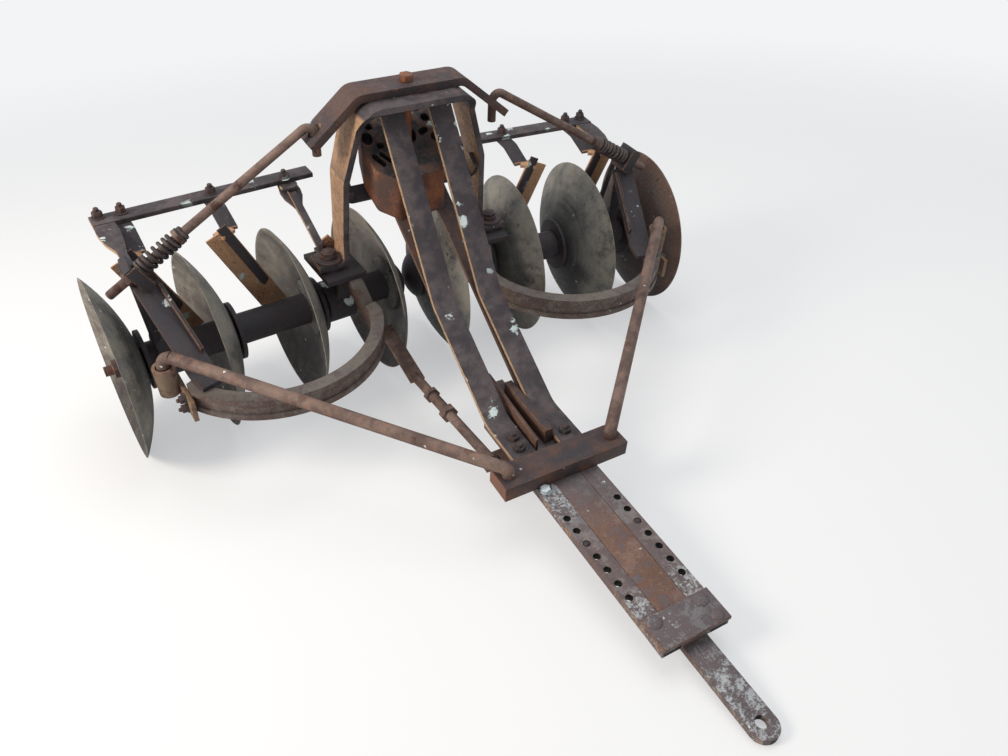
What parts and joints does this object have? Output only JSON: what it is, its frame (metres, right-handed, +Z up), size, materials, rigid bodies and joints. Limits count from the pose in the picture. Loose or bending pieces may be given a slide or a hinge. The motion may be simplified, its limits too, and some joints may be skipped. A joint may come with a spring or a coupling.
{
  "type": "disc harrow",
  "caption": "Tractor-drawn disc harrow with two gangs of dished discs on curved yokes, a mast and arch bar with spring rods, and a sliding crossbar on a flat hitch.",
  "frame": {"origin": "on the ground under the middle of the whole harrow's box, between the two gangs", "axes": "+Z up, the hitch and tongue point along -Y, +X towards the right-hand gang"},
  "size_m": [2.1382, 2.2755, 1.1013],
  "materials": {
    "dark_bar": "rough",
    "grey_rust": "rough",
    "casting_rust": "rough",
    "bolt_rust": "rough",
    "hitch_steel": "rough",
    "rod_steel": "rough",
    "yoke_steel": "rough",
    "socket_iron": "rough",
    "blade_rust": "rough",
    "spring_steel": "rough",
    "disc_steel": "rough",
    "spool_iron": "rough"
  },
  "bodies": {
    "frame": {"arch_bar": "dark_bar", "mast_bow": "grey_rust", "mast_tie": "grey_rust", "draw_bar_left": "grey_rust", "draw_bar_right": "grey_rust", "lower_bar_left": "grey_rust", "lower_bar_right": "grey_rust", "centre_bars": "grey_rust", "ballast_casting": "casting_rust", "centre_bolt": "bolt_rust", "hitch_side_left": "hitch_steel", "hitch_side_right": "hitch_steel", "hitch_centre_bar": "hitch_steel", "front_plate": "hitch_steel", "tongue": "hitch_steel", "draft_link": "hitch_steel", "king_pin_left": "bolt_rust", "king_pin_right": "bolt_rust"},
    "gang_frame_left": {"yoke_left": "yoke_steel", "outer_standard_left": "grey_rust", "inner_standard_left": "grey_rust", "rod_socket_left": "socket_iron", "scraper_bar_left": "grey_rust", "scrapers_left": "blade_rust", "spring_rod_left": "dark_bar", "spring_left": "spring_steel"},
    "gang_left": {"axle_left": "bolt_rust", "discs_left": "disc_steel", "spools_left": "spool_iron"},
    "rod_left": {"diagonal_rod_left": "rod_steel"},
    "gang_frame_right": {"yoke_right": "yoke_steel", "outer_standard_right": "grey_rust", "inner_standard_right": "grey_rust", "rod_socket_right": "socket_iron", "scraper_bar_right": "grey_rust", "scrapers_right": "blade_rust", "spring_rod_right": "dark_bar", "spring_right": "spring_steel"},
    "gang_right": {"axle_right": "bolt_rust", "discs_right": "disc_steel", "spools_right": "spool_iron"},
    "rod_right": {"diagonal_rod_right": "rod_steel"},
    "crossbar": {"crossbar": "hitch_steel"}
  },
  "joints": [
    {"name": "left_gang_swing", "type": "hinge", "parent": "frame", "child": "gang_frame_left", "pos_m": [-0.30514, 0.7137, 0.50398], "axis": [0, -0.1375, 0.9905], "range_deg": [0, 13]},
    {"name": "right_gang_swing", "type": "hinge", "parent": "frame", "child": "gang_frame_right", "pos_m": [0.30514, 0.7137, 0.50398], "axis": [0, 0.1375, -0.9905], "range_deg": [0, 13]},
    {"name": "crossbar_slide", "type": "slide", "parent": "frame", "child": "crossbar", "axis": [0, -0.9905, -0.1375], "range_m": [0, 0.192]},
    {"name": "left_rod_swivel", "type": "hinge", "parent": "crossbar", "child": "rod_left", "pos_m": [-0.171, -0.24474, 0.16901], "axis": [0, 0.1375, -0.9905], "range_deg": [0, 4.88]},
    {"name": "right_rod_swivel", "type": "hinge", "parent": "crossbar", "child": "rod_right", "pos_m": [0.171, -0.24474, 0.16901], "axis": [0, -0.1375, 0.9905], "range_deg": [0, 4.88]},
    {"name": "left_gang_spin", "type": "hinge", "parent": "gang_frame_left", "child": "gang_left", "pos_m": [-1.043, 0.77121, 0.305], "axis": [0.9976, 0.0691, 0.0096], "continuous": true},
    {"name": "right_gang_spin", "type": "hinge", "parent": "gang_frame_right", "child": "gang_right", "pos_m": [1.043, 0.77121, 0.305], "axis": [0.9976, -0.0691, -0.0096], "continuous": true}
  ],
  "couplings": [
    {"joint": "right_gang_swing", "follows": "left_gang_swing", "ratio": 1},
    {"joint": "crossbar_slide", "follows": "left_gang_swing", "m_per_rad": 0.8459},
    {"joint": "left_rod_swivel", "follows": "left_gang_swing", "ratio": 0.3736},
    {"joint": "right_rod_swivel", "follows": "left_gang_swing", "ratio": 0.3736}
  ]
}
